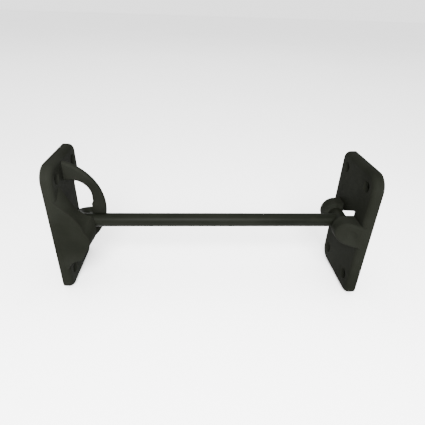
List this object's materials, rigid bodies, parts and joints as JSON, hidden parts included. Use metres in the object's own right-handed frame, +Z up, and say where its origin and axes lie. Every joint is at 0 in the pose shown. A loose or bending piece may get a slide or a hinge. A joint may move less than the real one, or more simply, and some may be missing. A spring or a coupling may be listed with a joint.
{
  "type": "rod and hook door holder",
  "caption": "Rod-and-hook door holder: a steel rod on a pivot at a hinge plate, with a hooked end that catches behind a ring on a moulded keeper plate, to hold a door open.",
  "frame": {"origin": "centre of the hinge plate's four-screw pattern, on its wall face", "axes": "+X points out of the hinge plate's wall face, away from the keeper; +Y is the side that the hook opens to; +Z is up"},
  "size_m": [0.1524, 0.0457, 0.0675],
  "materials": {
    "moulded_black": "satin black moulding",
    "rod_black": "satin black powder coat on steel",
    "pin_steel": "plain steel pin"
  },
  "bodies": {
    "hinge_base": {"hinge_plate": "moulded_black", "pivot_pin": "pin_steel"},
    "rod": {"hook_rod": "rod_black", "pivot_barrel": "rod_black"},
    "keeper": {"keeper_plate": "moulded_black"}
  },
  "joints": [
    {"name": "rod_fold", "type": "hinge", "parent": "hinge_base", "child": "rod", "pos_m": [-0.0086, -0.0011, 0.0012], "axis": [0, 1, 0], "range_deg": [-90, 90]},
    {"name": "hook_travel", "type": "slide", "parent": "rod", "child": "keeper", "axis": [1, 0, 0], "range_m": [-0.0026, 0.0036]}
  ]
}
